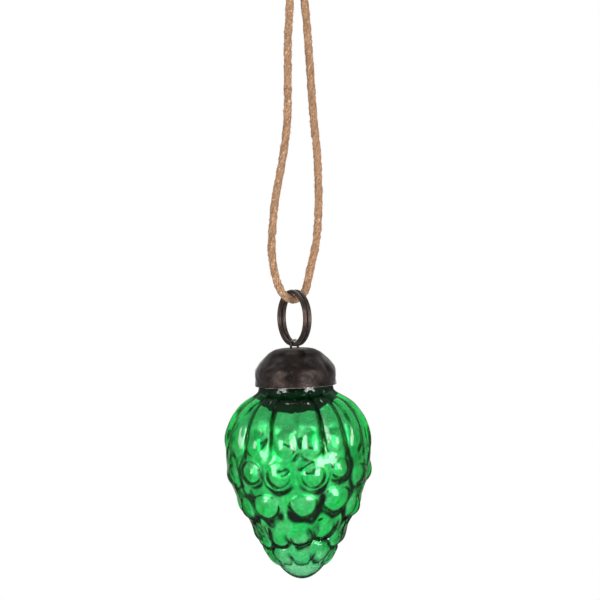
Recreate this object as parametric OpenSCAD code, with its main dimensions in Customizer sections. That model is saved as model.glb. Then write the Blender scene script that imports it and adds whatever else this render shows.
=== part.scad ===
// Pinecone ornament: a hollow blown glass body with rows of rounded scales,
// closed by a pressed metal cap. A spring wire staple grips the glass neck and
// stands up through the cap as a small eye. A split ring of round wire passes
// through the eye, and a loop of twine with a knot passes through the ring.
// Lengths are in millimetres and angles in degrees. +Z is up. The origin is the
// crotch of the twine loop, just under its knot, where a hook carries it.

/* [Glass] */
// Greatest radius of the glass between its scales
glass_r = 23; // [20:0.1:27]
// Length of the glass that shows, from the cap's rim to the tip
glass_len = 63.8; // [52:0.1:80]
// Wall of the blown glass
glass_wall = 2; // [1.4:0.1:3]
// Outer radius of the neck under the cap
neck_r = 12.4; // [11:0.1:14]
// Wall of the neck
neck_wall = 2.2; // [1.6:0.1:3]
// Height of the tallest scales above the glass between them
scale_h = 1.7; // [0.6:0.1:2.4]
// Number of scales around the shoulder, and around the row below it
shoulder_count = 14; // [10:1:16]
// Number of scales around each of the two middle rows
middle_count = 11; // [8:1:14]
// Number of scales around the row above the tip
tip_count = 9; // [6:1:10]
// Turn of the scale pattern about the glass's axis
scale_turn = -31; // [-180:1:180]

/* [Cap] */
// Clearance between the neck and the cap's skirt
neck_clear = 0.5; // [0.3:0.05:1]
// Clearance between the neck's lip and the inside of the cap's dome
lip_clear = 0.3; // [0.2:0.05:0.8]
// Sheet thickness of the cap
cap_wall = 0.6; // [0.4:0.05:1]
// Radius of the cap's flat top
cap_top_r = 6.4; // [5:0.1:7.5]
// Height of the cap's domed shoulder
cap_dome_h = 7.6; // [6:0.1:9]
// Height of the cap's upright skirt
cap_skirt_h = 4.7; // [3.5:0.1:6]
// Outward roll of the cap's rim
cap_roll = 0.2; // [0:0.05:0.5]
// Gap between the cap's rim and the start of the glass shoulder
rim_gap = 0.4; // [0.3:0.05:1]

/* [Staple] */
// Diameter of the staple's wire
staple_d = 0.7; // [0.5:0.05:1]
// Clearance between the staple's eye and the ring's wire
eye_clear = 0.25; // [0.15:0.05:0.5]
// Gap between the ring's wire and the cap's flat top
cap_gap = 0.55; // [0.5:0.05:1.2]
// Clearance between each staple hole in the cap and the wire
hole_clear = 0.05; // [0.02:0.01:0.2]
// Clearance between the sprung legs and the inside of the neck
leg_clear = 0.25; // [0.15:0.05:0.6]
// Length of the legs below the neck's lip
leg_reach = 12.5; // [9:0.1:18]

/* [Split ring] */
// Diameter of the ring's wire
ring_d = 1.5; // [1:0.05:2]
// Mean radius of the ring
ring_r = 8.75; // [7.5:0.05:11]
// Gap between the ring's two turns of wire
ring_gap = 0.45; // [0.42:0.01:0.8]
// Angle from the bottom of the ring to each cut end of the wire
ring_end = 28; // [20:1:45]
// Clearance between the ring's wire and the lowest point of the twine
hang_clear = 0.55; // [0.45:0.05:1]

/* [Twine] */
// Length of the hanging loop, from the crotch under the knot to its lowest point
loop_len = 113.8; // [95:0.1:140]
// Diameter of the twine
cord_d = 2.5; // [2:0.1:2.8]
// Greatest radius of the knot
knot_r = 4.6; // [4:0.1:5.5]
// Height of the knot
knot_h = 8.2; // [7:0.1:10]
// Length of each loose tail above the knot
tail_len = 11; // [6:0.5:18]

/* [Hanging] */
// Lean of the cap and glass from the vertical, about the ring's lowest wire
hang_lean = 2.3; // [0:0.1:5]

/* [Hidden] */
$fn = 64;

// Twine: centre line in the YZ plane of a loop 113.8 long, from the knot down the
// near leg, through the ring and up the far leg to the knot
ROUTE = [
    [-1.5, 3], [-1.5, -5], [-1.6, -12], [-2, -20], [-2.5, -28], [-2.5, -36],
    [-2.5, -45], [-2.7, -54], [-3.5, -61], [-4.6, -67.5], [-6, -74], [-7.4, -81],
    [-8.1, -87.5], [-8.6, -93], [-8.6, -98], [-8, -102.5], [-6.9, -107],
    [-5.7, -109.8], [-4.4, -111.8], [-2.6, -113.3], [-0.4, -113.8], [1.8, -113.3],
    [3.6, -111.9], [4.7, -109.7], [5.5, -106.5], [6.5, -102.5], [7.7, -98],
    [8.6, -93], [9.1, -87], [9.3, -80], [9.1, -72], [8.6, -64], [7.6, -55.5],
    [6.7, -46], [6, -36.5], [5.2, -27], [4.3, -18], [3, -9.5], [1.6, -2], [1.5, 3]];
CORD = [for (q = ROUTE) q * loop_len / 113.8];
knot_z = CORD[0][1];

// Heights of the ring: its wire hangs on the twine at the top
bight_z = min([for (q = CORD) q[1]]);
ring_z = bight_z + cord_d / 2 + hang_clear + ring_d / 2 - ring_r;
hinge_z = ring_z - ring_r;
ring_pitch = ring_d + ring_gap;

// Drops below the ring's lowest wire, along the leaning axis
cap_top = ring_d / 2 + cap_gap;
cap_r = neck_r + neck_clear + cap_wall;
skirt_top = cap_top + cap_dome_h;
rim = skirt_top + cap_skirt_h;
glass_top = rim + rim_gap;
glass_tip = glass_top + glass_len;
bore_r = neck_r - neck_wall;

// Outline of the glass between its scales, as shares of its length and radius:
// the shoulder grows from the neck, and the flank narrows to the tip's start
SHOULDER = [
    [0, 0], [0.03, 0.05], [0.07, 0.35], [0.125, 0.65], [0.175, 0.83], [0.22, 0.92],
    [0.28, 0.98]];
FLANK = [
    [0.345, 1], [0.38, 0.995], [0.44, 0.975], [0.53, 0.905], [0.6, 0.81], [0.68, 0.72],
    [0.77, 0.585], [0.835, 0.52], [0.895, 0.415]];
tip_share = 1 - FLANK[len(FLANK) - 1][0];
tip_r = FLANK[len(FLANK) - 1][1] * glass_r;
OUTLINE = concat(
    [for (p = SHOULDER) [p[0], neck_r + p[1] * (glass_r - neck_r)]],
    [for (p = FLANK) [p[0], p[1] * glass_r]]);

// Rows of scales: place down the glass, count, first angle, reach up and down as
// shares of the length, half width as a share of the pitch, height, unevenness
ROWS = [
    [0.282, shoulder_count, 11.5, 0.245, 0.085, 0.535, scale_h, 3.2],
    [0.44, shoulder_count, 11.5, 0.082, 0.086, 0.475, 0.9 * scale_h, 2],
    [0.6, middle_count, 3, 0.084, 0.084, 0.5, 0.9 * scale_h, 1],
    [0.765, middle_count, -3.4, 0.078, 0.07, 0.5, 0.8 * scale_h, 1],
    [0.89, tip_count, 0.5, 0.056, 0.06, 0.49, 0.45 * scale_h, 0]];
// Ratio of a scale's height on the inside of the glass to that on the outside
inner_ratio = 0.6;
// Sides around the glass, and stations down its flank and tip
GLASS_N = 72;
FLANK_N = 30;
TIP_N = 5;

// Smooth curve through a list of points, and its slope
function piece_at(p, x, i = 0) = i >= len(p) - 2 || x < p[i + 1][0] ? i : piece_at(p, x, i + 1);
function slope_at(p, i) =
    let (a = max(i - 1, 0), b = min(i + 1, len(p) - 1)) (p[b][1] - p[a][1]) / (p[b][0] - p[a][0]);
function curve_at(p, x) =
    let (i = piece_at(p, x), h = p[i + 1][0] - p[i][0], t = (x - p[i][0]) / h)
    (2 * t ^ 3 - 3 * t ^ 2 + 1) * p[i][1] + (t ^ 3 - 2 * t ^ 2 + t) * h * slope_at(p, i)
    + (3 * t ^ 2 - 2 * t ^ 3) * p[i + 1][1] + (t ^ 3 - t ^ 2) * h * slope_at(p, i + 1);

// Radius of the glass between its scales at a share of its length
function base_r(t) = t > 1 - tip_share
    ? tip_r * sqrt(max(1 - t, 0) / tip_share) : curve_at(OUTLINE, t);

// Height of one row of scales at an angle and a share of the length
function scale_at(w, a, t) =
    let (pitch = 360 / w[1], v = (t - w[0]) / (t < w[0] ? w[3] : w[4]))
    v * v >= 1 ? 0 : max([for (i = [0 : w[1] - 1])
        let (c = w[2] + pitch * i - w[7] * sin(45 * i + 9),
            d = ((a - c + 540) % 360 + 360) % 360 - 180,
            u = v * v + (d / (pitch * w[5])) ^ 2)
        u >= 1 ? 0 : w[6] * (1 - u) ^ 0.7]);
function scales(a, t) = max([for (w = ROWS) scale_at(w, a, t)]);

// One ring of glass points: radius and drop, raised by a share of the scales
function glass_ring(r, drop, t, share) = [for (k = [0 : GLASS_N - 1])
    let (a = 360 * k / GLASS_N, q = r + share * scales(a, t))
    [q * cos(a + scale_turn), q * sin(a + scale_turn), -drop]];
function tip_t(v) = 1 - tip_share * v * v;
function flank_t(i) = (1 - tip_share) * (1 - i / FLANK_N);

// Inner wall: the outline moved in along its normal
function inner_r(t) =
    let (m = (base_r(t + 0.004) - base_r(t - 0.004)) / (0.008 * glass_len), q = sqrt(1 + m * m))
    base_r(t) - glass_wall / q;
function inner_drop(t) =
    let (m = (base_r(t + 0.004) - base_r(t - 0.004)) / (0.008 * glass_len), q = sqrt(1 + m * m))
    glass_top + t * glass_len + glass_wall * m / q;

// Skin of revolution-like rings between two poles
function skin_faces(m, n) = concat(
    [for (k = [0 : n - 1]) [0, 1 + k, 1 + (k + 1) % n]],
    [for (i = [0 : m - 2], k = [0 : n - 1]) each let (a = 1 + i * n + k, b = 1 + i * n + (k + 1) % n)
        [[a, b + n, b], [a, a + n, b + n]]],
    [for (k = [0 : n - 1]) let (a = 1 + (m - 1) * n) [a + (k + 1) % n, a + k, 1 + m * n]]);

// Tube swept along points: r radius, n sides, u one reference direction a point
function unit(v) = v / norm(v);
function along(p, i) = unit(p[min(i + 1, len(p) - 1)] - p[max(i - 1, 0)]);
function tube_points(p, r, n, u) = [for (i = [0 : len(p) - 1])
    let (t = along(p, i), e = unit(u[i] - (u[i] * t) * t), f = cross(t, e))
    for (k = [0 : n - 1]) p[i] + r * cos(360 * k / n) * e + r * sin(360 * k / n) * f];
function tube_faces(m, n) = concat(
    [for (k = [1 : n - 2]) [0, k, k + 1]],
    [for (i = [0 : m - 2], k = [0 : n - 1]) each let (a = i * n + k, b = i * n + (k + 1) % n)
        [[a, b + n, b], [a, a + n, b + n]]],
    [for (k = [1 : n - 2]) let (a = (m - 1) * n) [a, a + k + 1, a + k]]);
module tube(p, r, n, u) {
    polyhedron(points = tube_points(p, r, n, u), faces = tube_faces(len(p), n), convexity = 6);
}
function same(p, v) = [for (q = p) v];

// Split ring: one wire of almost two turns that crosses over at the bottom
RING_N = 72;
function ring_angle(i) = (360 - ring_end) * (2 * i / RING_N - 1);
function ring_side(a) = ring_pitch / 2 * sin(90 * max(-1, min(1, a / (ring_end - 2))));
RING = [for (i = [0 : RING_N]) let (a = ring_angle(i))
    [ring_r * sin(a), ring_side(a), ring_z - ring_r * cos(a)]];
RING_OUT = [for (i = [0 : RING_N]) let (a = ring_angle(i)) [sin(a), 0, -cos(a)]];
ring_least = min([for (i = [0 : RING_N], j = [i + 8 : 1 : RING_N]) norm(RING[i] - RING[j])]) - ring_d;
echo(str("split ring, least gap to itself: ", ring_least, " mm"));

// Cap: section of the domed sheet, outside from the axis to the rim
DOME = [
    [0, 0], [0.14, 0.06], [0.3, 0.16], [0.48, 0.33], [0.68, 0.5], [0.84, 0.67], [0.95, 0.83],
    [1, 1]];
CAP_OUT = concat([[0, cap_top]],
    [for (q = DOME) [cap_top_r + q[0] * (cap_r - cap_top_r), cap_top + q[1] * cap_dome_h]],
    [[cap_r, rim - 0.26 * cap_skirt_h], [cap_r + cap_roll, rim - 0.11 * cap_skirt_h],
        [cap_r + cap_roll, rim]]);
function turned(v) = [-v[1], v[0]];
function inset(p, w) = [for (i = [0 : len(p) - 1])
    let (t = along(p, i), q = p[i] + w * turned(t)) [i == 0 ? 0 : q[0], i == len(p) - 1 ? rim : q[1]]];
CAP_IN = inset(CAP_OUT, cap_wall);

// Neck: its rounded lip rises out of the skirt until it seats under the dome
mouth = neck_wall / 2;
function reach_to(p, a, b) =
    let (v = b - a, t = max(0, min(1, (p - a) * v / (v * v)))) norm(p - a - t * v);
function dome_room(p) = min([for (i = [0 : len(CAP_IN) - 2]) reach_to(p, CAP_IN[i], CAP_IN[i + 1])]);
seat_step = lip_clear / 15;
function lip_seat(s) =
    dome_room([bore_r + mouth, s - seat_step + mouth]) < mouth + lip_clear ? s : lip_seat(s - seat_step);
lip = lip_seat(skirt_top);

// Staple: eye over the ring's wire, and two legs sprung out to the neck
eye_r = ring_d / 2 + eye_clear + staple_d / 2;
leg_y = bore_r - leg_clear - staple_d / 2;
LEG = [
    [eye_r, cap_top + 2 * cap_wall], [1.74 * eye_r, cap_top + 5 * cap_wall],
    [0.42 * leg_y, lip - neck_wall], [0.72 * leg_y, lip + 0.05 * leg_reach],
    [0.93 * leg_y, lip + 0.24 * leg_reach], [leg_y, lip + 0.42 * leg_reach],
    [0.98 * leg_y, lip + 0.58 * leg_reach], [0.93 * leg_y, lip + 0.76 * leg_reach],
    [0.84 * leg_y, lip + leg_reach]];
STAPLE = concat(
    [for (i = [len(LEG) - 1 : -1 : 0]) [0, -LEG[i][0], -LEG[i][1]]],
    [for (a = [180 : -15 : 0]) [0, eye_r * cos(a), eye_r * sin(a)]],
    [for (q = LEG) [0, q[0], -q[1]]]);

// Cap, staple and glass lean together about the ring's lowest wire
module hung() {
    translate([0, 0, hinge_z]) rotate([hang_lean, 0, 0]) children();
}

module glass_body() {
    outer = concat(
        [for (i = [1 : TIP_N]) let (v = i / TIP_N, t = tip_t(v))
            glass_ring(tip_r * v, glass_top + t * glass_len, t, 1)],
        [for (i = [1 : FLANK_N]) let (t = flank_t(i))
            glass_ring(base_r(t), glass_top + t * glass_len, t, 1)]);
    neck = [for (a = [0 : 45 : 180])
        glass_ring(bore_r + mouth + mouth * cos(a), lip + mouth - mouth * sin(a), 0, 0)];
    inner = concat(
        [glass_ring(bore_r, glass_top - 0.27 * neck_wall, 0, 0)],
        [for (i = [FLANK_N - 2 : -2 : 0]) let (t = flank_t(i))
            glass_ring(inner_r(t), inner_drop(t), t, inner_ratio)],
        [for (v = [0.72, 0.4]) let (t = tip_t(v))
            glass_ring(inner_r(t), inner_drop(t), t, inner_ratio)]);
    rings = concat(outer, neck, inner);
    points = concat([[0, 0, -glass_tip]], [for (g = rings) each g], [[0, 0, glass_wall - glass_tip]]);
    color([0.1, 0.62, 0.28])
        hung() polyhedron(points = points, faces = skin_faces(len(rings), GLASS_N), convexity = 8);
}

module cap() {
    section = concat(CAP_OUT, [for (i = [len(CAP_IN) - 1 : -1 : 0]) CAP_IN[i]]);
    color([0.2, 0.17, 0.16])
        hung() difference() {
            rotate_extrude() polygon([for (q = section) [q[0], -q[1]]]);
            for (y = [-eye_r, eye_r])
                translate([0, y, -cap_top - 2 * cap_wall])
                    cylinder(r = staple_d / 2 + hole_clear, h = 4 * cap_wall);
        }
}

module staple() {
    color([0.28, 0.26, 0.25])
        hung() tube(STAPLE, staple_d / 2, 8, same(STAPLE, [1, 0, 0]));
}

module split_ring() {
    color([0.17, 0.15, 0.14])
        tube(RING, ring_d / 2, 8, RING_OUT);
}

module cord() {
    route = [for (q = CORD) [0, q[0], q[1]]];
    color([0.72, 0.55, 0.4])
        tube(route, cord_d / 2, 8, same(route, [1, 0, 0]));
}

module knot() {
    top = knot_z + knot_h;
    foot = abs(CORD[0][0]) + 0.58 * cord_d;
    color([0.72, 0.55, 0.4]) {
        rotate_extrude() polygon([
            [0, knot_z], [foot, knot_z], [0.93 * knot_r, knot_z + 0.22 * knot_h],
            [knot_r, knot_z + 0.45 * knot_h], [0.94 * knot_r, knot_z + 0.66 * knot_h],
            [0.76 * knot_r, knot_z + 0.86 * knot_h], [0.48 * knot_r, top], [0, top]]);
        for (side = [-1, 1]) {
            tail = [for (v = [-0.18, 0, 0.3, 0.65, 1])
                [0, side * cord_d * (0.56 + 0.96 * max(v, 0) ^ 2), top + v * tail_len]];
            tube(tail, cord_d / 2, 8, same(tail, [1, 0, 0]));
        }
    }
}

glass_body();
cap();
staple();
split_ring();
cord();
knot();
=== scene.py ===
import math
from collections import namedtuple

import bpy
import numpy as np
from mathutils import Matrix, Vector


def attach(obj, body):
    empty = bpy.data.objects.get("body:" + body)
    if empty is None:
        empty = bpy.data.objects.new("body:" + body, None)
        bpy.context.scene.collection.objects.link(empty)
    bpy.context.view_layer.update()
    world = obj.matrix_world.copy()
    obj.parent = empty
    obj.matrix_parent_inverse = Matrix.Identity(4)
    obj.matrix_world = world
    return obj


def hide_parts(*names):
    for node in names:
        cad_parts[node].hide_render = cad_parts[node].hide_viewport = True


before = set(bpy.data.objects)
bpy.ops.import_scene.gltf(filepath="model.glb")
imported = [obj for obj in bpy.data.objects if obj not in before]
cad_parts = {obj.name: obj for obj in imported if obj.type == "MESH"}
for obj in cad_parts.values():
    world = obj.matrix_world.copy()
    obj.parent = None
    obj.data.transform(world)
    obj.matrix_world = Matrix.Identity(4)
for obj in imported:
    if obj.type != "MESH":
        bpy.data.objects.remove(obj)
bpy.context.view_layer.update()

# The part is in millimetres until metre_mesh, and camera, lights and floor are in metres
MM = 0.001
VIEW = 60.5  # degrees from the part's front to the photograph's camera
TURN = VIEW - 90  # an angle seen from the camera plus this is the angle from the X axis
RING_CENTRE = -120  # height of the middle of the split ring
RING_R = 8.75
HINGE = RING_CENTRE - RING_R  # height of the ring's lowest wire, on which cap and glass hang
LEAN = math.radians(2.3)  # cap and glass hang with this lean
WHITE = (1, 1, 1, 1)
SCENE = bpy.context.scene
SCENE.view_settings.view_transform = "Standard"


def direction(azimuth, elevation):
    """Unit direction seen from the front: azimuth + to the right of the camera."""
    a, e = math.radians(VIEW + azimuth), math.radians(elevation)
    return Vector((math.sin(a) * math.cos(e), -math.cos(a) * math.cos(e), math.sin(e)))


def add_object(name, data):
    """New object in the scene."""
    obj = bpy.data.objects.new(name, data)
    SCENE.collection.objects.link(obj)
    return obj


def look_back(obj, way):
    """Turns a camera or light to look back along a direction."""
    obj.rotation_mode = "QUATERNION"
    obj.rotation_quaternion = way.to_track_quat("Z", "Y")


# Camera
FOCAL, SENSOR = 360, 36
CAMERA_AWAY = 2.0
CAMERA_UP = 3  # degrees above level
CENTRE_RIGHT, CENTRE_Z = 0.00188, -0.114  # what the middle of the picture looks at


def place_camera():
    data = bpy.data.cameras.new("camera")
    data.lens = FOCAL
    data.sensor_width = SENSOR
    data.clip_start, data.clip_end = 0.05, 50
    cam = add_object("camera", data)
    back = direction(0, CAMERA_UP)
    cam.location = direction(90, 0) * CENTRE_RIGHT + Vector((0, 0, CENTRE_Z)) + back * CAMERA_AWAY
    look_back(cam, back)
    SCENE.camera = cam


place_camera()


# Pieces
def metre_mesh(name, verts, faces):
    """Mesh in metres from points in millimetres."""
    mesh = bpy.data.meshes.new(name)
    mesh.from_pydata((np.asarray(verts) * MM).tolist(), [], faces)
    return mesh


def mesh_piece(name, verts, faces, body, slot, materials, nodes=(), shade=None):
    """Smooth piece that rides on a body and stands in for the solids of the given nodes."""
    mesh = metre_mesh(name, verts, faces)
    mesh.shade_smooth()
    if shade is not None:
        values = np.asarray(shade, dtype=np.float32)
        mesh.attributes.new("shade", "FLOAT", "POINT").data.foreach_set("value", values)
    mesh.update()
    obj = add_object(name, mesh)
    for material in materials:
        mesh.materials.append(material)
    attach(obj, body)
    if nodes:
        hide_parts(*nodes)
    return obj


def hung(points):
    """Leaning frame (z is minus the drop below the ring's lowest wire) to the part's frame."""
    p = np.asarray(points, dtype=float)
    c, s = math.cos(LEAN), math.sin(LEAN)
    y = p[..., 1] * c - p[..., 2] * s
    z = p[..., 1] * s + p[..., 2] * c + HINGE
    return np.stack([p[..., 0], y, z], axis=-1)


# Numbers
def share(x):
    """A number held between 0 and 1."""
    return np.clip(x, 0, 1)


def ease(x):
    """Smooth rise from 0 to 1."""
    x = share(x)
    return x * x * (3 - 2 * x)


def apart(angle, other):
    """Degrees from another angle to this one, -180 to 180."""
    return (angle - other + 540) % 360 - 180


def bell(x):
    """1 at 0, falling off smoothly to either side."""
    return np.exp(-(x**2))


def ripple(x, seed, waves):
    """Smooth repeatable unevenness along one number, about -1 to 1."""
    rng = np.random.default_rng(seed)
    out = np.zeros_like(np.asarray(x, dtype=float))
    for w in waves:
        out += np.sin(math.tau * (x / (w * rng.uniform(0.85, 1.15)) + rng.random())) * w
    return out / sum(waves)


# Curves and skins
CURVE_STEPS = 24  # fine points between two given points of a smooth curve
# A rounded end of a tube: the place of its middle ring, and what its first and middle ring lose in radius
NOSE_MIDDLE, NOSE_LOSS, NOSE_MIDDLE_LOSS = 0.3, 0.5, 0.16


def unit(rows):
    """Each row scaled to length one."""
    return rows / np.linalg.norm(rows, axis=1)[:, None]


def tangents(path):
    return unit(np.gradient(path, axis=0))


def at_run(s, run, rows):
    """Rows of three numbers, read at given runs."""
    return np.stack([np.interp(s, run, rows[:, k]) for k in range(3)], axis=1)


def smooth_curve(points, step):
    """Points a step apart on a Catmull-Rom curve through the given points, and the run to each."""
    p = np.asarray(points, dtype=float)
    p = np.vstack([2 * p[0] - p[1], p, 2 * p[-1] - p[-2]])
    t = np.linspace(0, 1, CURVE_STEPS, endpoint=False)[:, None]
    fine = []
    for a, b, c, d in zip(p, p[1:], p[2:], p[3:]):
        square = (2 * a - 5 * b + 4 * c - d) * t**2
        cube = (3 * b - a - 3 * c + d) * t**3
        fine.append(0.5 * (2 * b + (c - a) * t + square + cube))
    q = np.vstack(fine + [p[-2][None]])
    run = np.concatenate([[0], np.cumsum(np.linalg.norm(np.diff(q, axis=0), axis=1))])
    s = np.linspace(0, run[-1], max(2, int(round(run[-1] / step)) + 1))
    return at_run(s, run, q), s


def frames_along(path, first=(1, 0, 0)):
    """Tangent and two carried normals at each point of a path."""
    t = tangents(path)
    e = np.zeros_like(path)
    u = np.array(first, dtype=float)
    for i, way in enumerate(t):
        u = u - (u @ way) * way
        u /= np.linalg.norm(u)
        e[i] = u
    return t, e, np.cross(t, e)


def turns(count):
    """Angles of a full circle in equal steps."""
    return np.arange(count) * math.tau / count


def wrap(path, e, f, radius, sides):
    """Rings of points round a path; the radius has a row for each ring."""
    a = turns(sides)
    ring = e[:, None] * np.cos(a)[None, :, None] + f[:, None] * np.sin(a)[None, :, None]
    return (path[:, None] + radius[:, :, None] * ring).reshape(-1, 3)


def quads(rings, sides, start=0):
    """Faces between rings of points that follow each other."""
    faces = []
    for i in range(rings - 1):
        for k in range(sides):
            a = start + i * sides + k
            b = start + i * sides + (k + 1) % sides
            faces.append((a, b, b + sides, a + sides))
    return faces


def tube_faces(rings, sides):
    """Faces of a tube with flat ends."""
    last = (rings - 1) * sides
    return [tuple(reversed(range(sides))), *quads(rings, sides), tuple(range(last, last + sides))]


def tube(path, radius, sides, first=(1, 0, 0), nose=0.0):
    """Closed round tube; nose rounds its two ends by that share of the radius."""
    path = np.asarray(path, dtype=float)
    radius = np.broadcast_to(np.asarray(radius, dtype=float), (len(path),))
    if nose:
        t = tangents(path)
        r = radius[0]
        cut = r * nose
        start = [path[0] + t[0] * cut * q for q in (0, NOSE_MIDDLE, 1)]
        stop = [path[-1] - t[-1] * cut * q for q in (1, NOSE_MIDDLE, 0)]
        path = np.vstack([start, path[1:-1], stop])
        small = [r * (1 - NOSE_LOSS * nose), r * (1 - NOSE_MIDDLE_LOSS * nose), r]
        radius = np.concatenate([small, radius[1:-1], small[::-1]])
    _, e, f = frames_along(path, first)
    return wrap(path, e, f, radius[:, None], sides), tube_faces(len(path), sides)


def skin(rings, first, last):
    """Closed skin of rings between two poles, outward."""
    count, sides = len(rings), len(rings[0])
    top = 1 + (count - 1) * sides
    faces = [(0, 1 + (k + 1) % sides, 1 + k) for k in range(sides)]
    faces += quads(count, sides, 1)
    faces += [(top + k, top + (k + 1) % sides, top + sides) for k in range(sides)]
    return np.vstack([[first], *rings, [last]]), faces


# Materials
class Nodes:
    """A small shorthand for the nodes of a material or of the world."""

    def __init__(self, tree):
        self.tree = tree

    def put(self, socket, value):
        """Links a socket to another one, or sets it."""
        if isinstance(value, bpy.types.NodeSocket):
            self.tree.links.new(value, socket)
        else:
            socket.default_value = value

    def node(self, kind, values=(), **settings):
        n = self.tree.nodes.new(kind)
        for name, value in settings.items():
            setattr(n, name, value)
        for key, value in dict(values).items():
            self.put(n.inputs[key], value)
        return n

    def ramp(self, value, low, high, a=0.0, b=1.0, how="LINEAR"):
        """a up to low, b from high on, and between them on the way."""
        values = {"Value": value, "From Min": low, "From Max": high, "To Min": a, "To Max": b}
        return self.node("ShaderNodeMapRange", values, interpolation_type=how).outputs["Result"]

    def maths(self, how, a, b):
        return self.node("ShaderNodeMath", {0: a, 1: b}, operation=how).outputs[0]

    def times(self, a, b):
        return self.maths("MULTIPLY", a, b)

    def plus(self, a, b):
        return self.maths("ADD", a, b)

    def less(self, a, b):
        return self.maths("SUBTRACT", a, b)


class Material(Nodes):
    """A material with one Principled shader."""

    def __init__(self, name):
        self.data = bpy.data.materials.new(name)
        self.data.use_nodes = True
        super().__init__(self.data.node_tree)
        self.shader = self.tree.nodes["Principled BSDF"]
        self.output = self.tree.nodes["Material Output"]

    def set(self, **values):
        """Sets inputs of the shader; an underscore stands for a space."""
        for name, value in values.items():
            self.put(self.shader.inputs[name.replace("_", " ")], value)

    def place(self):
        return self.node("ShaderNodeTexCoord").outputs["Object"]

    def height(self):
        return self.node("ShaderNodeSeparateXYZ", {"Vector": self.place()}).outputs["Z"]

    def shade(self):
        """The tone that a mesh holds at its points."""
        return self.node("ShaderNodeAttribute", attribute_name="shade").outputs["Fac"]

    def noise(self, scale, detail=3.0, rough=0.5, distortion=0.0):
        values = {"Vector": self.place(), "Scale": scale, "Detail": detail, "Roughness": rough}
        return self.node("ShaderNodeTexNoise", {**values, "Distortion": distortion}).outputs["Fac"]

    def mix(self, factor, a, b, how="MIX"):
        """Mixed colour; inputs 6 and 7 and output 2 are the node's colour sockets."""
        n = self.node("ShaderNodeMix", data_type="RGBA", blend_type=how)
        for i, value in ((0, factor), (6, a), (7, b)):
            self.put(n.inputs[i], (*value, 1) if isinstance(value, tuple) else value)
        return n.outputs[2]

    def over(self, tone, colour, pattern, low, high, most=1.0):
        """A tone with a colour laid over it where a pattern rises from low to high."""
        return self.mix(self.ramp(pattern, low, high, 0, most), tone, colour)

    def bump(self, height, strength, distance):
        values = {"Height": height, "Strength": strength, "Distance": distance}
        self.put(self.shader.inputs["Normal"], self.node("ShaderNodeBump", values).outputs["Normal"])


def jute_material():
    m = Material("jute")
    fine = m.noise(2600, 3, 0.6)
    tone = m.mix(m.shade(), (0.13, 0.058, 0.026), (0.60, 0.37, 0.205))
    tone = m.over(tone, (0.30, 0.15, 0.075), m.noise(260, 4, 0.6), 0.4, 0.7, 0.35)  # brown stretches
    tone = m.over(tone, (0.55, 0.36, 0.22), fine, 0.4, 0.7, 0.25)  # pale grain
    tone = m.over(tone, (0.30, 0.125, 0.055), m.noise(900, 3, 0.6), 0.5, 0.66, 0.4)  # russet spots
    # The dark gaps are painted shade: dark specks at random, for the shade between fibres
    tone = m.over(tone, (0.13, 0.062, 0.03), m.noise(1900, 2, 0.5), 0.56, 0.66, 0.75)  # dark gaps
    tone = m.over(tone, (0.72, 0.55, 0.41), m.noise(1400, 3, 0.6, 0.4), 0.57, 0.68, 0.65)  # straw flecks
    m.set(Base_Color=tone, Roughness=0.92, Specular_IOR_Level=0.2, Sheen_Weight=0.12, Sheen_Roughness=0.6)
    m.bump(fine, 0.35, 0.00012)
    return m.data


def cap_material():
    """Dark bronze with rubbed spots, and dust on its flanks but not on its top."""
    m = Material("dark_bronze")
    cloud = m.noise(160, 4, 0.6)
    grain = m.noise(1900, 3, 0.65)
    speck = m.noise(900, 4, 0.7, 0.3)
    tone = m.mix(m.ramp(cloud, 0.35, 0.68), (0.012, 0.0085, 0.0075), (0.04, 0.029, 0.0255))
    tone = m.over(tone, (0.12, 0.075, 0.05), speck, 0.56, 0.72, 0.7)  # rubbed spots
    tone = m.over(tone, (0.19, 0.12, 0.08), m.noise(1900, 2, 0.5), 0.68, 0.76)  # tan flecks
    tone = m.over(tone, (0.012, 0.01, 0.01), grain, 0.56, 0.75, 0.5)  # dark pits
    m.set(Base_Color=tone, Metallic=0.88, Roughness=m.ramp(grain, 0.3, 0.7, 0.36, 0.56))
    top = HINGE - CAP_TOP
    flank = m.ramp(m.height(), (top - DUST_FULL) * MM, (top - DUST_END) * MM, 0.85, 0.08)
    dust = m.times(flank, m.ramp(cloud, 0.4, 0.6, 0.5, 1.2))
    m.set(Sheen_Weight=dust, Sheen_Roughness=0.35, Sheen_Tint=(1, 0.94, 0.96, 1))
    m.bump(m.plus(grain, m.times(speck, 0.7)), 0.25, 0.00012)
    return m.data


def wire_material(name, low, high, rough, wear_and_highlight_top=None):
    """Dark wire; where a height in metres is given, its top is pale: worn where the ring bears on it, and a
    painted highlight.
    """
    m = Material(name)
    scratch = m.noise(2400, 3, 0.6)
    tone = m.mix(m.ramp(m.noise(420, 4, 0.6), 0.35, 0.7), low, high)
    if wear_and_highlight_top is not None:
        # Painted highlight and wear: the wire above that height is mixed to pale metal
        tone = m.over(tone, (0.62, 0.59, 0.55), m.height(), wear_and_highlight_top - 0.5 * MM, wear_and_highlight_top + 0.2 * MM, 0.9)
    m.set(Base_Color=tone, Metallic=0.9, Roughness=m.ramp(scratch, 0.3, 0.7, rough - 0.08, rough + 0.1))
    m.set(Sheen_Weight=0.3, Sheen_Roughness=0.4, Sheen_Tint=(1, 0.92, 0.88, 1))
    m.bump(scratch, 0.15, 0.00006)
    return m.data


def glass_material():
    """Clear glass that takes its green from its own thickness."""
    m = Material("green_glass")
    m.set(Base_Color=WHITE, Roughness=0.0, IOR=1.47, Transmission_Weight=1.0)
    depth = m.node("ShaderNodeVolumeAbsorption", {"Color": (0.175, 0.972, 0.56, 1), "Density": 690.0})
    m.put(m.output.inputs["Volume"], depth.outputs[0])
    return m.data


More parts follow.
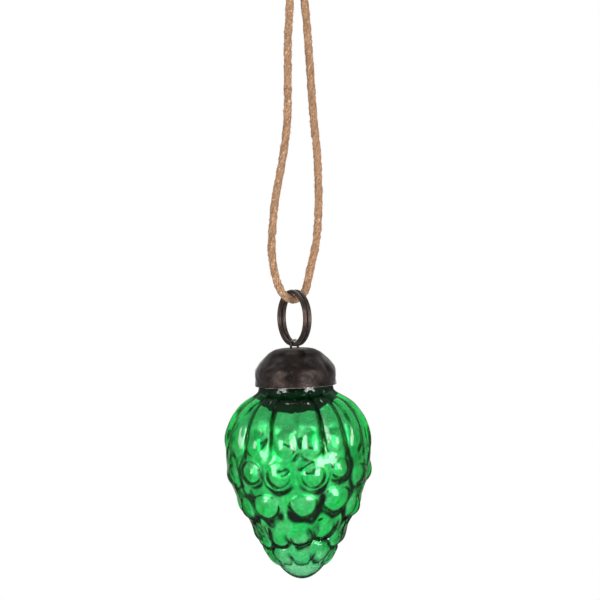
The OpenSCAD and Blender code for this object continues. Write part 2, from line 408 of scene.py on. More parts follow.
def silver_material():
    """Mirror coat: bright on the scales, dull on the flats between them, and painted shade, nearly black, in
    the creases, on the flank lines and at the tip.
    """
    m = Material("mottled_silver")
    flat, painted_shade = m.ramp(m.shade(), 0, 1), m.ramp(m.shade(), 0, -1)
    mottle = m.noise(1100, 4, 0.65)
    cloud = m.noise(170, 3, 0.55)
    tone = m.mix(flat, (1.0, 0.94, 0.75), (1.0, 1.0, 0.98))
    blot = m.times(m.ramp(m.noise(330, 3, 0.6, 0.5), 0.44, 0.68, 0, 0.6), m.ramp(flat, 0, 1, 1, 0.15))
    tone = m.mix(blot, tone, (0.2, 0.2, 0.18))
    worn = m.mix(flat, (0.62, 0.62, 0.59), (0.86, 0.86, 0.83))
    tone = m.mix(m.ramp(mottle, 0.36, 0.64), worn, tone)
    grit = m.times(m.ramp(flat, 0, 1, 0.5, 1), m.ramp(m.noise(2300, 2, 0.6), 0.52, 0.7, 0, 0.55))
    tone = m.mix(grit, tone, (0.3, 0.3, 0.28))
    tone = m.over(tone, (0.55, 0.42, 0.30), m.noise(210, 3, 0.6, 0.4), 0.6, 0.75, 0.5)  # brown stains
    deep = m.times(m.ramp(m.noise(150, 3, 0.6, 0.6), 0.36, 0.6), m.ramp(flat, 0, 0.7, 1, 0.05))
    tone = m.mix(deep, tone, (0.2, 0.9, 0.6), "MULTIPLY")
    # Painted shade: where the shade attribute is below 0, the coat is mixed towards black
    shade_patches = m.times(painted_shade, m.ramp(cloud, 0.3, 0.5, 0.4, 1.0))
    tone = m.mix(shade_patches, tone, (0.012, 0.016, 0.013))
    dull = m.times(flat, m.ramp(cloud, 0.34, 0.6, 0.25, 1.0))
    rough = m.plus(m.times(dull, 0.42), m.ramp(mottle, 0.35, 0.65, 0.14, 0.06))
    m.set(Base_Color=tone, Metallic=0.95, Roughness=rough)
    m.bump(mottle, 0.2, 0.0001)
    return m.data


def tarnish_and_shade_material():
    """Tarnish painted black as the shade of the hollow inside the neck, with a few specks of bare silver."""
    m = Material("tarnish_and_painted_shade")
    bare = m.ramp(m.noise(520, 4, 0.6), 0.62, 0.74)
    tone = m.mix(bare, (0.006, 0.007, 0.006), (0.35, 0.36, 0.34))
    m.set(Base_Color=tone, Metallic=bare, Roughness=0.35)
    return m.data


# Backing of the coat, seen from the hollow: dark lacquer, kept near black as painted shade of the closed
# hollow
def backing_and_shade_material():
    m = Material("backing_and_painted_shade")
    tone = m.mix(m.noise(500, 3, 0.5), (0.012, 0.011, 0.010), (0.03, 0.028, 0.026))
    m.set(Base_Color=tone, Roughness=0.7)
    return m.data


# Twine
TWINE_D = 2.5
CORE_R = 0.475 * TWINE_D
CORE_SIDES = 20
LAY = 12.5  # one turn of the twist takes this length
TIED_END, CUT_END = (0.35, 1.8), (0.45, 2.5)  # share of its thickness that an end loses, and over what length
END_GAP = 0.02  # fibres and hairs stop this far from the ends
FIBRES, HAIRS = 5.0, 2.2  # laid fibres and stray hairs for each millimetre
FIBRE_LENGTH, FIBRE_R = (2.5, 9), (0.06, 0.15)
FIBRE_LEAST = 2  # a fibre that an end cuts shorter than this is left out
HAIR_LENGTH, HAIR_R = (0.7, 2.4), (0.022, 0.036)
HAIR_RISE = 0.95  # the furthest that a hair stands off
FRAYED = 120  # loose fibres at a cut end
FRAY_LENGTH, FRAY_R = (1.0, 3.4), (0.04, 0.085)
FRAY_ROOT = 1.2  # how deep in the twine a loose fibre starts
# The loop from end to end, sideways and up: the points of part.scad
ROUTE = [
    [-1.5, 3], [-1.5, -5], [-1.6, -12], [-2, -20], [-2.5, -28], [-2.5, -36],
    [-2.5, -45], [-2.7, -54], [-3.5, -61], [-4.6, -67.5], [-6, -74], [-7.4, -81],
    [-8.1, -87.5], [-8.6, -93], [-8.6, -98], [-8, -102.5], [-6.9, -107],
    [-5.7, -109.8], [-4.4, -111.8], [-2.6, -113.3], [-0.4, -113.8], [1.8, -113.3],
    [3.6, -111.9], [4.7, -109.7], [5.5, -106.5], [6.5, -102.5], [7.7, -98],
    [8.6, -93], [9.1, -87], [9.3, -80], [9.1, -72], [8.6, -64], [7.6, -55.5],
    [6.7, -46], [6, -36.5], [5.2, -27], [4.3, -18], [3, -9.5], [1.6, -2], [1.5, 3]]


class Bundle:
    """Closed meshes gathered into one, with a tone for each point."""

    def __init__(self):
        self.verts = []
        self.faces = []
        self.shade = []
        self.count = 0

    def add(self, verts, faces, shade):
        self.faces.extend(tuple(i + self.count for i in face) for face in faces)
        self.verts.append(verts)
        self.shade.append(shade)
        self.count += len(verts)

    def mesh(self):
        return np.vstack(self.verts), self.faces, np.concatenate(self.shade)

    def piece(self, name, node):
        verts, faces, shade = self.mesh()
        return mesh_piece(name, verts, faces, "hanger", "twine", [JUTE], [node], shade)


def twist(s, phi):
    """An angle round the twine, carried back along its twist."""
    return phi - math.tau * s / LAY


class Rope(Bundle):
    """Twine along a curve: a softly twisted core, laid fibres on it, stray hairs, and a frayed last end."""

    def __init__(self, points, seed, frayed=False):
        super().__init__()
        self.path, self.run = smooth_curve(points, 0.4)
        self.t, self.e, self.f = frames_along(self.path)
        self.total = self.run[-1]
        self.rng = np.random.default_rng(seed)
        self.thick = self.thickness(seed, CUT_END if frayed else TIED_END)
        self.lay_core()
        self.lay_fibres()
        self.lay_hairs()
        if frayed:
            self.fray()

    def thickness(self, seed, last_end):
        """Uneven thickness along the run, drawn in at both ends."""
        thick = 1 + 0.09 * ripple(self.run, seed + 1, (2.6, 4.3, 7.0))
        thick = thick + 0.045 * ripple(self.run, seed + 2, (1.1, 1.7))
        for end, (loss, reach) in ((0, TIED_END), (self.total, last_end)):
            thick = thick * (1 - loss * share(1 - np.abs(self.run - end) / reach) ** 2)
        return thick

    def surface(self, s, phi):
        """Radius of the core at a run and an angle."""
        groove = 0.93 + 0.07 * np.abs(np.cos(1.5 * twist(s, phi))) ** 0.7
        small = 0.035 * np.sin(5 * phi + 3.1 * s) + 0.03 * np.sin(9 * twist(s, phi) + 1.7 * s)
        small = small + 0.025 * np.sin(7 * phi - 4.3 * s)
        return CORE_R * np.interp(s, self.run, self.thick) * (groove + small) * 1.06

    def at(self, s, phi, r):
        """Points at runs, angles and distances from the middle of the twine."""
        e, f = at_run(s, self.run, self.e), at_run(s, self.run, self.f)
        out = e * np.cos(phi)[:, None] + f * np.sin(phi)[:, None]
        return at_run(s, self.run, self.path) + r[:, None] * out

    def inside(self, s):
        """Runs held clear of the ends."""
        return np.clip(s, END_GAP, self.total - END_GAP)

    def strand(self, line, r, tone, taper=0.3):
        """Thin fibre that tapers to both ends."""
        k = np.linspace(0, 1, len(line))
        verts, faces = tube(line, r * np.clip(np.minimum(k, 1 - k) / 0.18, taper, 1), 3)
        self.add(verts, faces, np.full(len(verts), tone))

    def lay_core(self):
        s, phi = self.run[:, None], turns(CORE_SIDES)[None, :]
        verts = wrap(self.path, self.e, self.f, self.surface(s, phi), CORE_SIDES)
        # Painted shade: the core is dark for the shade between the fibres laid on it, and darker again in the
        # grooves of its twist
        shade = 0.2 + 0.12 * np.abs(np.cos(1.5 * twist(s, phi))) + 0.1 * np.sin(9 * twist(s, phi))
        self.add(verts, tube_faces(len(self.path), CORE_SIDES), shade.reshape(-1))

    def lay_fibres(self):
        """Fibres along the twist, some with a loose end."""
        rng = self.rng
        for _ in range(int(FIBRES * self.total)):
            length = rng.uniform(*FIBRE_LENGTH)
            s0 = rng.uniform(-0.3 * length, self.total - 0.7 * length)
            s = self.inside(np.linspace(s0, s0 + length, 11))
            if s[-1] - s[0] < FIBRE_LEAST:
                continue
            k = np.linspace(0, 1, len(s))
            phi = rng.uniform(0, math.tau) + math.tau * (s - s0) / (LAY * rng.uniform(0.6, 2.2))
            phi = phi + rng.normal(0, 0.22) * np.sin(k * math.pi * rng.uniform(1, 2.5))
            lift = rng.uniform(-0.03, 0.04)
            loose = rng.uniform(0, 0.16) * np.maximum(k - 0.75, 0) * 4
            lift = lift + loose * (rng.random() < 0.5)
            line = self.at(s, phi, self.surface(s, phi) + lift)
            self.strand(line, rng.uniform(*FIBRE_R), share(rng.normal(0.55, 0.3)))

    def lay_hairs(self):
        """Hairs that stand off the twine."""
        rng = self.rng
        k = np.linspace(0, 1, 6)
        for _ in range(int(HAIRS * self.total)):
            s0 = rng.uniform(0.3, self.total - 0.3)
            phi = rng.uniform(0, math.tau)
            length = rng.uniform(*HAIR_LENGTH)
            s = self.inside(s0 + rng.choice((-1, 1)) * length * k * rng.uniform(0.3, 0.95))
            rise = rng.uniform(0.12, 0.5) * length * k ** rng.uniform(1, 2)
            phi = phi + rng.normal(0, 0.8) * k
            line = self.at(s, phi, self.surface(s, phi) - 0.04 + np.minimum(rise, HAIR_RISE))
            self.strand(line, rng.uniform(*HAIR_R), rng.uniform(0.5, 0.95), 0.5)

    def fray(self):
        """Loose fibres that spread from the last end."""
        rng = self.rng
        ahead = self.t[-1]
        k = np.linspace(0, 1, 7)[:, None]
        for _ in range(FRAYED):
            phi = rng.uniform(0, math.tau)
            r = CORE_R * math.sqrt(rng.random()) * 0.85
            side = self.e[-1] * math.cos(phi) + self.f[-1] * math.sin(phi)
            reach = rng.uniform(*FRAY_LENGTH)
            line = self.path[-1] + side * r + ahead * (k * (reach + FRAY_ROOT) - FRAY_ROOT)
            line = line + side * k**2 * rng.uniform(0, 1.1)
            line = line + np.cross(side, ahead) * k**2 * rng.normal(0, 0.35)
            self.strand(line, rng.uniform(*FRAY_R), np.clip(rng.normal(0.6, 0.2), 0.1, 1), 0.5)


JUTE = jute_material()
loop = Rope([[0, y, z] for y, z in ROUTE], seed=11)
twine = loop.piece("twine", "cord")


# Overhand knot in the doubled twine: one path for the pair, and a strand on either side of it
KNOT = [
    [0, 0, 1.2], [0.1, 0, 4.4], [0.6, -0.4, 7.2], [1.7, -0.9, 9.3], [2.9, 0.2, 9.0], [2.6, 2.0, 7.6],
    [0.4, 2.75, 6.7], [-2.0, 2.0, 6.4], [-2.8, -0.2, 6.5], [-1.7, -2.2, 6.9], [0.6, -2.7, 7.5],
    [1.5, -1.3, 8.9], [0.6, 0.1, 10.6], [0.1, 0.2, 12.2]]
PAIR_GAP = 1.12  # from the path to the middle of a strand
ENTRY_GAP = 0.38  # what that gains where the loop's two ends come in
TAIL = (1.6, 3.4, 5.4, 7.6)  # points of a tail, by their distance from the knot


def knot_strands():
    """Lines of the two strands: side by side through the knot, then two tails that part."""
    path, run = smooth_curve(KNOT, 0.5)
    t = tangents(path)
    k = run / run[-1]
    deep = share(np.minimum(k, 1 - k) / 0.2)[:, None]
    up = unit(np.cross(t, path * [1, 1, 0]) + [0, 0.001, 0])
    lead = (1 - deep) * [0, 1, 0] + deep * np.where(up[:, 2:3] < 0, -up, up)
    lead = unit(lead - np.sum(lead * t, axis=1)[:, None] * t)
    for _ in range(6):
        lead[1:-1] = (lead[:-2] + 2 * lead[1:-1] + lead[2:]) / 4
        lead = unit(lead)
    gap = PAIR_GAP + ENTRY_GAP * share(1 - k / 0.13)
    strands = []
    for side in (-1, 1):
        line = path + side * gap[:, None] * lead
        tail = [line[-1] + [0.25 * q * side, side * 2.6 * (q / 8) ** 1.6, 1.05 * q] for q in TAIL]
        strands.append(np.vstack([line[::4], tail]))
    return strands


pair = Bundle()
for number, strand_line in enumerate(knot_strands()):
    pair.add(*Rope(strand_line, seed=31 + number, frayed=True).mesh())
knot = pair.piece("twine_knot", "knot")


# Split ring
RING_WIRE_D = 1.5
RING_PITCH = 1.62  # from one turn of the wire to the other
RING_END = 28.0  # each end of the wire stops this many degrees before the crossing at the bottom


def split_ring():
    """Almost two turns of wire that cross over at the bottom."""
    a = np.linspace(RING_END - 360, 360 - RING_END, 301)
    side = RING_PITCH / 2 * np.sin(np.radians(90 * np.clip(a / (RING_END - 2), -1, 1)))
    q = np.radians(a)
    path = np.stack([RING_R * np.sin(q), side, RING_CENTRE - RING_R * np.cos(q)], axis=1)
    return tube(path, RING_WIRE_D / 2, 18, first=(0, 1, 0), nose=0.35)


RING_METAL = wire_material("blackened_wire", (0.054, 0.038, 0.032), (0.13, 0.094, 0.08), 0.46)
mesh_piece("ring_wire", *split_ring(), "ring", "wire", [RING_METAL], ["split_ring"])


# Staple. From here on heights are drops below the ring's lowest wire.
CAP_TOP = 1.3
CAP_WALL = 0.6
LIP = 7.34  # top of the glass
NECK_WALL = 2.2
EYE_R = 1.35
STAPLE_R = 0.44  # half the thickness of the wire
LEG_Y = 9.6  # the furthest that a leg springs out
LEG_REACH = 12.5  # how far a leg goes down from the lip


def staple_wire():
    """An eye with two legs that go through the cap and spring against the neck."""
    leg = [
        [EYE_R, CAP_TOP + 2 * CAP_WALL], [1.74 * EYE_R, CAP_TOP + 5 * CAP_WALL],
        [0.42 * LEG_Y, LIP - NECK_WALL], [0.72 * LEG_Y, LIP + 0.05 * LEG_REACH],
        [0.93 * LEG_Y, LIP + 0.24 * LEG_REACH], [LEG_Y, LIP + 0.42 * LEG_REACH],
        [0.98 * LEG_Y, LIP + 0.58 * LEG_REACH], [0.93 * LEG_Y, LIP + 0.76 * LEG_REACH],
        [0.84 * LEG_Y, LIP + LEG_REACH]]
    arc = np.radians(np.arange(180, -1, -15))
    eye = [[0, EYE_R * math.cos(a), EYE_R * math.sin(a)] for a in arc]
    line = [[0, -y, -drop] for y, drop in reversed(leg)] + eye + [[0, y, -drop] for y, drop in leg]
    path, _ = smooth_curve(line, 0.3)
    verts, faces = tube(path, STAPLE_R, 14, nose=0.3)
    return hung(verts), faces


EYE_TOP = float(hung([0, 0, EYE_R])[2]) * MM
STAPLE_METAL = wire_material("staple_wire", (0.022, 0.017, 0.015), (0.06, 0.048, 0.042), 0.42, EYE_TOP)
mesh_piece("staple_wire", *staple_wire(), "cap", "wire", [STAPLE_METAL], ["staple"])


# Cap
CAP_R, CAP_TOP_R = 13.5, 6.4
DOME_H, SKIRT_H = 7.6, 4.7
RIM = CAP_TOP + DOME_H + SKIRT_H
ROLL = 0.06  # how far the rim stands out
CAP_SIDES = 168
DUST_FULL, DUST_END = 4.45, 1.15  # below the cap's top: where its dust is full, and all but gone
HOLE_R = 0.52
HOLE_OFF = (0.013, 0.007)  # the holes lie a hair off the lines of the mesh, which makes for a clean cut
# Profile of the dome, as shares of the way out and the way down
DOME = [
    [0.02, 0.055], [0.14, 0.105], [0.3, 0.19], [0.48, 0.33], [0.68, 0.5], [0.84, 0.67], [0.95, 0.83], [1, 1]]
# Soft dents: angle seen from the front, drop, half width in degrees, half height, depth
DENTS = [
    (-31, 3.3, 11, 1.1, 0.5), (-44, 6.0, 10, 1.2, 0.55), (-6, 4.8, 13, 1.6, 0.24), (24, 3.6, 10, 1.1, 0.3),
    (52, 7.0, 6, 1.6, 0.42), (70, 5.2, 14, 1.6, 0.2), (112, 4.4, 13, 1.5, 0.26), (151, 6.8, 12, 1.9, 0.24),
    (-84, 5.0, 15, 1.7, 0.22), (-126, 4.0, 12, 1.4, 0.28), (-160, 7.0, 11, 1.8, 0.2),
    (-20, 11.2, 20, 1.6, 0.1), (33, 10.6, 16, 1.8, 0.08), (96, 11.4, 18, 1.5, 0.12),
    (-110, 10.8, 17, 1.7, 0.12), (175, 11.0, 15, 1.6, 0.1)]
# A nick in the rim, and a stretch that flares: angle seen from the front, half width, reach up, size
NICK = (-56, 2.6, 1.1, 0.55)
FLARE = (62, 26, 1.6, 0.16)


def cap_section():
    """Radius and drop of the pressed sheet: down the outside, round the rim and up the inside."""
    outer = [[0.6, CAP_TOP], [3.2, CAP_TOP + 0.03], [5.2, CAP_TOP + 0.14]]
    outer += [[CAP_TOP_R + out * (CAP_R - CAP_TOP_R), CAP_TOP + down * DOME_H] for out, down in DOME]
    outer += [[CAP_R, RIM - 2.8], [CAP_R, RIM - 0.26 * SKIRT_H]]
    outer += [[CAP_R + ROLL, RIM - 0.11 * SKIRT_H], [CAP_R + ROLL, RIM]]
    outside, _ = smooth_curve([[r, drop, 0] for r, drop in outer], 0.34)
    t = tangents(outside)
    inside = outside + CAP_WALL * np.stack([-t[:, 1], t[:, 0], 0 * t[:, 0]], axis=1)
    inside[:, 0] = np.maximum(inside[:, 0], 0.25)
    inside[-1, 1] = RIM
    edge = (outside[-1] + inside[-1]) / 2 + [0, 0.08, 0]
    return np.vstack([outside, edge[None], inside[::-1]])[:, :2]


def dents(seen, drop):
    """How far the hand-pressed sheet is pushed in, at angles seen from the front and drops."""
    push = np.zeros(np.broadcast(seen, drop).shape)
    for angle, place, wide, tall, deep in DENTS:
        push += deep * bell(apart(seen, angle) / wide) * bell((drop - place) / tall)
    push += 0.05 * np.sin(np.radians(3 * seen + 40)) * share((drop - 4) / 6)
    rng = np.random.default_rng(21)
    for _ in range(22):
        k, slant = rng.integers(7, 22), rng.uniform(-2.2, 2.2)
        wave = np.sin(np.radians(k * seen) + slant * drop + rng.uniform(0, 6.28))
        push += 0.014 * wave * share((drop - 2.2) / 2)
    return push


def cap_mesh():
    section = cap_section()
    a = turns(CAP_SIDES)[None, :]
    seen = apart(np.degrees(a), TURN)
    r, drop = section[:, :1], section[:, 1:]
    angle, wide, reach, size = FLARE
    flare = size * bell((seen - angle) / wide) * share((drop - RIM + reach) / reach) ** 2
    r = r - dents(seen, drop) * share(r / 6) + flare
    angle, wide, reach, size = NICK
    nick = size * bell(apart(seen, angle) / wide) * share((drop - RIM + reach) / reach)
    rings = np.stack([r * np.cos(a), r * np.sin(a), nick - drop], axis=2)
    verts, faces = skin(rings[::-1], [0, 0, -CAP_TOP - CAP_WALL], [0, 0, -CAP_TOP])
    return hung(verts), faces


def hole_cutter(y):
    """Rod that cuts one of the staple's holes."""
    line = [[HOLE_OFF[0], y + HOLE_OFF[1], z - CAP_TOP] for z in (1.5, -0.3, -2)]
    verts, faces = tube(line, HOLE_R, 20)
    return add_object("hole", metre_mesh("hole", hung(verts), faces))


def drill(obj, cutters):
    """Cuts round holes in a mesh and removes the cutting solids."""
    for cutter in cutters:
        cut = obj.modifiers.new("hole", "BOOLEAN")
        cut.operation = "DIFFERENCE"
        cut.object = cutter
        cut.solver = "EXACT"
    bpy.context.view_layer.update()
    done = bpy.data.meshes.new_from_object(obj.evaluated_get(bpy.context.evaluated_depsgraph_get()))
    obj.modifiers.clear()
    old, obj.data = obj.data, done
    bpy.data.meshes.remove(old)
    for cutter in cutters:
        mesh = cutter.data
        bpy.data.objects.remove(cutter)
        bpy.data.meshes.remove(mesh)


cap = mesh_piece("cap_shell", *cap_mesh(), "cap", "cap_metal", [cap_material()], ["cap"])
drill(cap, [hole_cutter(-EYE_R), hole_cutter(EYE_R)])
cap.data.shade_smooth()
cap.data.set_sharp_from_angle(angle=math.radians(50))


# Glass
GLASS_R, GLASS_LEN = 22.5, 64.6
GLASS_TOP = 14.0  # the neck ends and the length starts here
NECK_R, BORE_R = 12.4, 10.2
MOUTH = 1.1  # radius of the rolled lip
WALL = 1.8
THIN = 0.75  # what the wall loses towards the tip
TIP = 0.105  # the rounded tip takes this share of the length
INNER = 0.92  # how much of the scales' height the inside has
GLASS_SIDES = 308
ROUND = np.arange(GLASS_SIDES) * 360 / GLASS_SIDES  # angles seen from the front
# Outline between the scales: share of the length, then share of the way from the neck's radius to the full
# one on the shoulder, and share of the full one on the flank
SHOULDER = [[0, 0], [0.03, 0.05], [0.07, 0.35], [0.125, 0.65], [0.175, 0.83], [0.22, 0.92], [0.28, 0.98]]
FLANK = [[0.345, 1], [0.38, 0.995], [0.44, 0.975], [0.53, 0.905], [0.6, 0.81], [0.68, 0.72], [0.77, 0.585],
         [0.835, 0.52], [0.895, 0.415]]
OUTLINE = [[t, NECK_R + g * (GLASS_R - NECK_R)] for t, g in SHOULDER] + [[t, g * GLASS_R] for t, g in FLANK]
# Scales in front, row by row: angle, how far down from the row's place, and size beside the rest of the row
LOBES = [(-39, 0, 1), (-11.7, 0, 1), (12.5, 0, 1), (32.5, 0, 0.9)]
BEADS = [(-43, -0.03, 1), (-18, -0.01, 1.14), (12.6, -0.01, 1.14), (38.5, -0.035, 1)]
MIDDLE = [(-37, -0.014, 1.06), (3, -0.02, 1.04), (38, -0.044, 1.1)]
LOW = [(-31, -0.015, 1), (0, -0.02, 1), (30, -0.045, 0.95)]
LAST = [(-38, -0.03, 1), (0.5, -0.03, 1), (36, -0.035, 1)]
# A row of scales: place down the glass, count, those in front, reach up and down, half width as a share of
# the pitch, height, how much more the lower part stands out, roundness, the fillet at the foot, and the
# depth of the groove under the foot
Row = namedtuple("Row", "place count front up down half height skew bulge fillet groove")
ROWS = [
    Row(0.2, 14, LOBES, 0.27, 0.19, 0.5, 1.9, 0.0, 0.5, 0.4, 0),
    Row(0.272, 14, LOBES, 0.085, 0.095, 0.44, 2.15, 0.0, 0.8, 1.3, 0),
    Row(0.435, 14, BEADS, 0.078, 0.08, 0.475, 2.5, 0.4, 0.85, 1.3, 1.25),
    Row(0.595, 11, MIDDLE, 0.082, 0.086, 0.5, 2.6, 0.8, 0.85, 1.3, 1.4),
    Row(0.755, 11, LOW, 0.08, 0.072, 0.62, 1.9, 0.8, 0.85, 1.3, 1.25),
    Row(0.88, 9, LAST, 0.056, 0.06, 0.52, 1.1, 0.4, 0.85, 1.1, 0.6)]
LOBE_REACH = 0.2  # a scale that reaches up further than this is a long lobe of the shoulder
STRAY = (2.4, 0.01, 0.1, 0.16, 30)  # the most that a scale is off in angle, place, size, height and way
FRONT_STRAY, FRONT_TALL = 0.6, 1.16  # how far the front scales stray, and their height, beside the rest
OUTWARD = 20  # degrees by which the grooves in front are turned outward
# One scale: half is in degrees, and way is the angle from straight down to the deepest side of its groove
Scale = namedtuple("Scale", "row angle place up down half height way")
# Grooves between the lobes of the shoulder: those in front by their angle, and the rest
GROOVES = {-25: 1.4, 0: 0.5, 23: 2.0, 48: 2.0, -52: 2.0}
GROOVE = 1.6
WAVES, WAVE_R = 26, 20  # how many waves make up the unevenness, and the radius at which they are counted
# Dark lines of painted shade in the coat down the two flanks: share of the length, and angle
FLANK_SHADE_LINES = [
    [(0.3, -49), (0.36, -54), (0.42, -59), (0.51, -60), (0.58, -56), (0.66, -55), (0.74, -58)],
    [(0.3, 47), (0.38, 48), (0.45, 48), (0.545, 56), (0.62, 55), (0.7, 60)]]
# Painted shade in the coat: at the feet of the scales, below a line round the tip, and at the very pole
FEET_SHADE = 2.0  # how dark the coat goes at the feet of the scales
TIP_SHADE_LINE, TIP_SHADE_PINCH = 0.975, 0.055  # the coat is dark below this share of the length, and higher up at the sides
POLE_SHADE = -0.9  # the coat at the very tip
COAT_OUT, COAT_IN = 0.07, 0.03  # the coat reaches this far into the glass and into the hollow


def outline(t):
    """Radius of the glass between its scales at a share of its length."""
    t = np.asarray(t, dtype=float)
    x, y = np.array(OUTLINE).T
    n = len(x)
    before, after = np.maximum(np.arange(n) - 1, 0), np.minimum(np.arange(n) + 1, n - 1)
    slope = (y[after] - y[before]) / (x[after] - x[before])
    i = np.clip(np.searchsorted(x, t, side="right") - 1, 0, n - 2)
    h = x[i + 1] - x[i]
    u = (t - x[i]) / h
    curve = ((2 * u**3 - 3 * u**2 + 1) * y[i] + (u**3 - 2 * u**2 + u) * h * slope[i]
             + (3 * u**2 - 2 * u**3) * y[i + 1] + (u**3 - u**2) * h * slope[i + 1])
    tip = y[-1] * np.sqrt(np.maximum(1 - t, 0) / TIP)
    return np.where(t > 1 - TIP, tip, curve)


def soft_max(a, b, fillet):
    """The larger of two heights, with a fillet where they meet."""
    h = np.maximum(fillet - np.abs(a - b), 0) / fillet
    return np.maximum(a, b) + h * h * fillet / 4


def around(front, count):
    """Scales of one row: those in front, then the rest spread over the back."""
    first, last = front[0][0], front[-1][0]
    rest = count - len(front)
    gap = (first + 360 - last) / (rest + 1)
    return front + [(last + gap * (i + 1), 0, 1) for i in range(rest)]


def lay_scales():
    """Every scale of every row, each a little off its place and size."""
    rng = np.random.default_rng(5)
    out = []
    for row in ROWS:
        for i, (angle, lower, grow) in enumerate(around(row.front, row.count)):
            in_front = i < len(row.front)
            loose = rng.uniform(-1, 1, 5) * (FRONT_STRAY if in_front else 1)
            turned, sunk, grown, raised, slant = loose * STRAY
            size = grow * (1 + grown)
            tall = FRONT_TALL if in_front and row.up < LOBE_REACH else 1
            out.append(Scale(
                row=row,
                angle=angle + turned,
                place=row.place + lower + sunk,
                up=row.up * size,
                down=row.down * size,
                half=360 / row.count * row.half * size,
                height=row.height * tall * (1 + raised),
                way=math.radians(math.copysign(OUTWARD, angle) + slant)))
    return out


SCALES = lay_scales()


def nothing(angle, t):
    """A zero for each place."""
    return np.zeros(np.broadcast(angle, t).shape)


def on_scale(scale, angle, t):
    """Place on a scale, down and across: 0 at its middle, 1 at its foot."""
    down = (t - scale.place) / np.where(t < scale.place, scale.up, scale.down)
    return down, apart(angle, scale.angle) / scale.half


def feet(angle, t, wide):
    """Crease round the foot of each scale, deepest on its lower side."""
    out = nothing(angle, t)
    for scale in SCALES:
        groove = scale.row.groove
        if groove:
            v, d = on_scale(scale, angle, t)
            far = np.sqrt(v * v + d * d) + 1e-6
            facing = (v * math.cos(scale.way) + d * math.sin(scale.way)) / far
            out = np.maximum(out, groove * share(0.15 + 0.85 * facing) * bell((far - 1.08) / wide))
    return out


def seams(angle, t, wide):
    """Grooves between the lobes of the shoulder."""
    out = nothing(angle, t)
    lobes = sorted(scale.angle % 360 for scale in SCALES if scale.up > LOBE_REACH)
    reach = share((t - 0.01) / 0.05) * share((0.37 - t) / 0.16)
    for one, two in zip(lobes, lobes[1:] + [lobes[0] + 360]):
        middle = (one + two) / 2
        near = [deep for at, deep in GROOVES.items() if abs(apart(at, middle)) < 8]
        out = out + (near[0] if near else GROOVE) * bell(apart(angle, middle) / wide) * reach
    return out


def scales(angle, t):
    """Height of the rounded scales at an angle (degrees, seen from the front) and a share of the length."""
    out = nothing(angle, t)
    for scale in SCALES:
        row = scale.row
        low = math.sqrt(1 - row.bulge)
        v, d = on_scale(scale, angle, t)
        crown = (np.sqrt(np.maximum(1 - row.bulge * (v * v + d * d), 0)) - low) / (1 - low)
        lower = np.clip(v, -1, 1)
        height = scale.height * crown * (1 + row.skew * lower)
        out = soft_max(out, height, row.fillet * (1.15 - 0.45 * lower))
    out = out - feet(angle, t, 0.17) * share(1.3 - out / 1.2)
    return out * ease((t - 0.015) / 0.085) - seams(angle, t, 4)


def wavy(angle, t, seed, low, high, deep):
    """Hand-blown unevenness: smooth waves round the glass and down it, of wavelengths from low to high."""
    rng = np.random.default_rng(seed)
    out = nothing(angle, t)
    for _ in range(WAVES):
        size, way = rng.uniform(low, high), rng.uniform(0, math.pi)
        k = round(math.tau * WAVE_R * math.cos(way) / size)
        down = math.tau * math.sin(way) * t * GLASS_LEN / size
        out = out + np.sin(np.radians(k * angle) + down + rng.uniform(0, 6.28))
    return deep * out / math.sqrt(WAVES / 2) * share((t - 0.01) / 0.08) * share((0.98 - t) / 0.16)


def between(angle, t):
    """1 where the glass lies flat between its scales and at the tip, 0 on a scale."""
    near = nothing(angle, t) + 9
    for scale in SCALES:
        if scale.up < LOBE_REACH:
            v, d = on_scale(scale, angle, t)
            near = np.minimum(near, v * v + d * d)
    flat = share((near - 1.0) / 0.5) * (0.6 + 0.4 * share((t - 0.3) / 0.06))
    return np.maximum(flat, share((t - 0.9) / 0.05))


def flank_painted_shade(angle, t):
    """Painted shade: a dark wandering line down each side, where the scales of the front meet those of the
    flank.
    """
    out = nothing(angle, t)
    for line in FLANK_SHADE_LINES:
        off = apart(angle, np.interp(t, *zip(*line)))
        out = out + bell(off / 2.8) * share((t - 0.27) / 0.05) * share((0.8 - t) / 0.1)
    return out


def coat(angle, t):
    """State of the mirror: above 0 for how dull it lies on a flat, below 0 for how dark painted shade makes
    it in a crease, on a flank line and at the tip.
    """
    uneven = wavy(angle, t, 21, 6, 13, 1.0)
    seen = apart(angle, 0)
    low = share((t - 0.57) / 0.06)

    # Painted shade at the feet of the scales: fainter at the sides, and nearly clear between the two beads in
    # front
    wide = (0.115 + 0.05 * low) * np.clip(1.1 + 0.4 * uneven, 0.6, 1.8)
    strong = 1 - 0.45 * share((np.abs(seen) - 56) / 14)
    strong = strong * (1 - 0.9 * bell((seen + 3) / 6.5) * bell((t - 0.47) / 0.07))
    painted_dark = FEET_SHADE * strong * (1 + 0.6 * low) * feet(angle, t, wide) * np.clip(1 + 0.3 * uneven, 0.4, 2)

    # Painted shade in the grooves of the shoulder, on lines down the flanks, and at the tip
    painted_dark = painted_dark + 0.6 * seams(angle, t, 4.6 - 6 * np.clip(t - 0.1, 0, 0.3)) + flank_painted_shade(angle, t)
    tip_shade_line = TIP_SHADE_LINE - TIP_SHADE_PINCH * np.sin(np.radians(angle)) ** 8
    painted_dark = np.maximum(share(painted_dark), np.clip((t - tip_shade_line - 0.004 * uneven) / 0.012, 0, 0.9))
    return between(angle, t) * (1 - painted_dark) - painted_dark


def outer(angle, t):
    """How far the outside stands out from the outline."""
    return scales(angle, t) + wavy(angle, t, 3, 6, 14, 0.1)


def inner(angle, t):
    """How far the inside stands out from the outline moved in."""
    return INNER * scales(angle, t) + wavy(angle, t, 3, 6, 14, 0.1) + wavy(angle, t, 8, 3, 7, 0.05)


